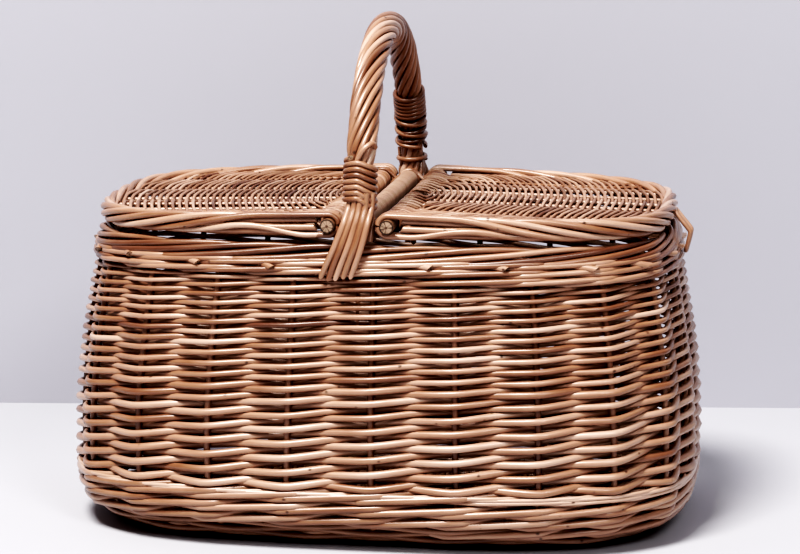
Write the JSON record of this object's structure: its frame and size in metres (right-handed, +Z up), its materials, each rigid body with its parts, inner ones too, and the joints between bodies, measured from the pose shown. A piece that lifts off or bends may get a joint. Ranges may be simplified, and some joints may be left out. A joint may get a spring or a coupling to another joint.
{
  "type": "wicker picnic basket",
  "caption": "Oval woven willow picnic basket with a fixed bow handle and two hinged lids that open away from it, one with a hanging closing loop.",
  "frame": {"origin": "on the floor under the middle of the basket's base", "axes": "+X along the basket's length towards the lid with the closing loop, +Y towards the back, +Z up"},
  "size_m": [0.45, 0.298, 0.3625],
  "materials": {
    "willow_weave": "buff willow rods, woven, satin",
    "willow_rod": "thick buff willow rods, satin",
    "willow_stick": "thick willow sticks with cut ends, matt",
    "willow_skein": "split pale willow skein, wound, matt"
  },
  "bodies": {
    "basket": {"back_handle_foot": "willow_rod", "back_leg_binding": "willow_rod", "base_sticks": "willow_stick", "base_weave": "willow_weave", "crossbar_core": "willow_stick", "crossbar_wrap": "willow_skein", "foot_border": "willow_rod", "front_handle_foot": "willow_rod", "front_leg_binding": "willow_rod", "handle_core": "willow_stick", "handle_twist": "willow_rod", "hinge_lashing_back_left": "willow_rod", "hinge_lashing_back_right": "willow_rod", "hinge_lashing_front_left": "willow_rod", "hinge_lashing_front_right": "willow_rod", "side_stakes": "willow_rod", "side_weave": "willow_weave", "top_border": "willow_rod", "top_wale": "willow_weave", "upsett_wale": "willow_weave"},
    "left_lid": {"left_hinge_stick": "willow_stick", "left_lid_border": "willow_rod", "left_lid_ribs": "willow_rod", "left_lid_weave": "willow_weave"},
    "right_lid": {"right_hinge_stick": "willow_stick", "right_lid_border": "willow_rod", "right_lid_ribs": "willow_rod", "right_lid_weave": "willow_weave"},
    "closing_loop": {"closing_loop": "willow_rod"}
  },
  "joints": [
    {"name": "left_lid_hinge", "type": "hinge", "parent": "basket", "child": "left_lid", "pos_m": [-0.0235, 0, 0.227], "axis": [0, 1, 0], "range_deg": [0, 77]},
    {"name": "right_lid_hinge", "type": "hinge", "parent": "basket", "child": "right_lid", "pos_m": [0.0175, 0, 0.227], "axis": [0, -1, 0], "range_deg": [0, 77]},
    {"name": "closing_loop_swing", "type": "hinge", "parent": "right_lid", "child": "closing_loop", "pos_m": [0.2046, 0, 0.2245], "axis": [0, -1, 0], "range_deg": [0, 115]}
  ]
}
